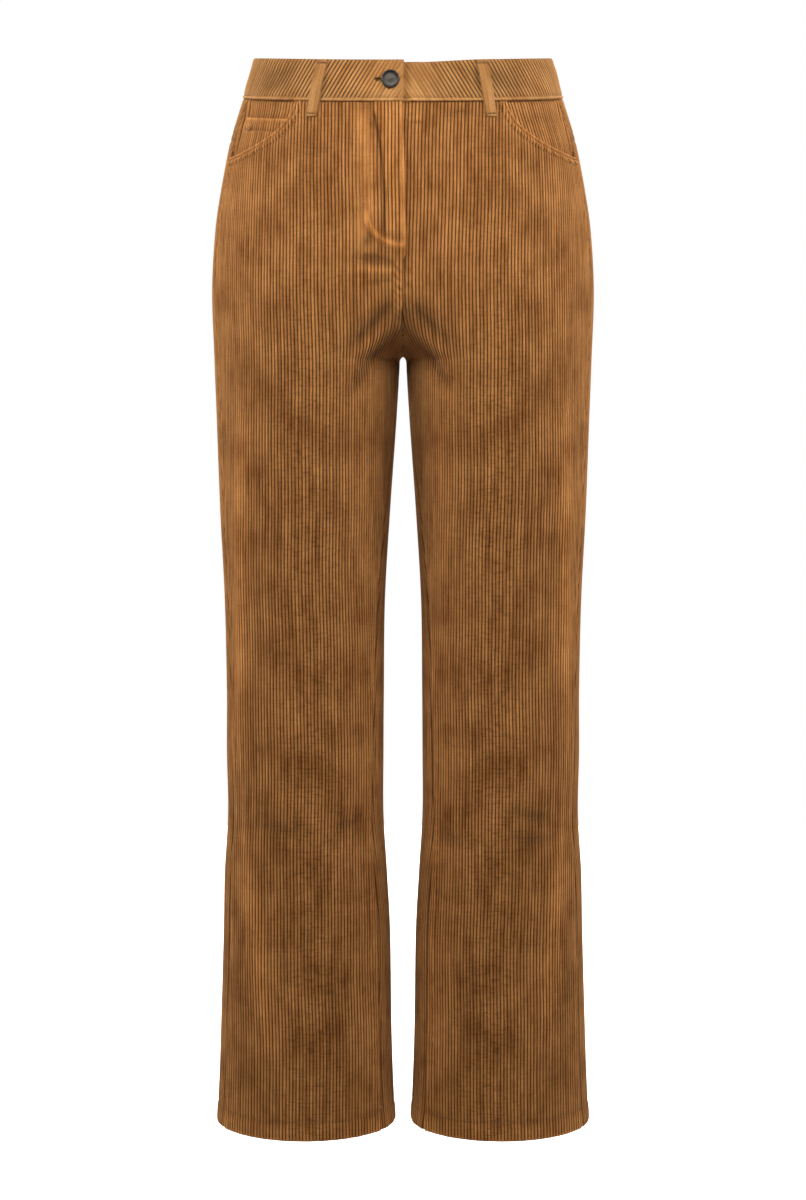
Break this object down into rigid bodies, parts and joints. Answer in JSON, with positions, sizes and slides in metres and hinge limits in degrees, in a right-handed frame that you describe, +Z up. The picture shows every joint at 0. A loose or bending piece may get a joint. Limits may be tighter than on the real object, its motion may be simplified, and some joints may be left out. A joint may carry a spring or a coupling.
{
  "type": "corduroy trousers",
  "caption": "High-waisted straight wide-leg corduroy trousers in caramel brown with scooped front pockets, a fly, belt loops and turned-up hems, standing out hollow as when worn.",
  "frame": {"origin": "centre of the waist opening, at half the waistband's height at the sides", "axes": "+Z up along the body, the front faces -Y, the wearer's left is +X"},
  "size_m": [0.3714, 0.2476, 1.0578],
  "materials": {
    "corduroy": "cut-pile corduroy, lengthwise wales, soft sheen",
    "band_corduroy": "cut-pile corduroy, band cut on the bias, loops lengthwise",
    "button_metal": "antiqued gunmetal, satin"
  },
  "bodies": {
    "root": {"front_right": "corduroy", "front_left": "corduroy", "back_right": "corduroy", "back_left": "corduroy", "yoke_right": "corduroy", "yoke_left": "corduroy", "hip_facing_right": "corduroy", "hip_facing_left": "corduroy", "coin_pocket": "corduroy", "back_pocket_right": "corduroy", "back_pocket_left": "corduroy", "waistband_right": "band_corduroy", "waistband_left": "band_corduroy", "belt_loop_front_right": "band_corduroy", "belt_loop_front_left": "band_corduroy", "belt_loop_back_right": "band_corduroy", "belt_loop_back_left": "band_corduroy", "belt_loop_centre_back": "band_corduroy", "button": "button_metal"}
  },
  "joints": []
}
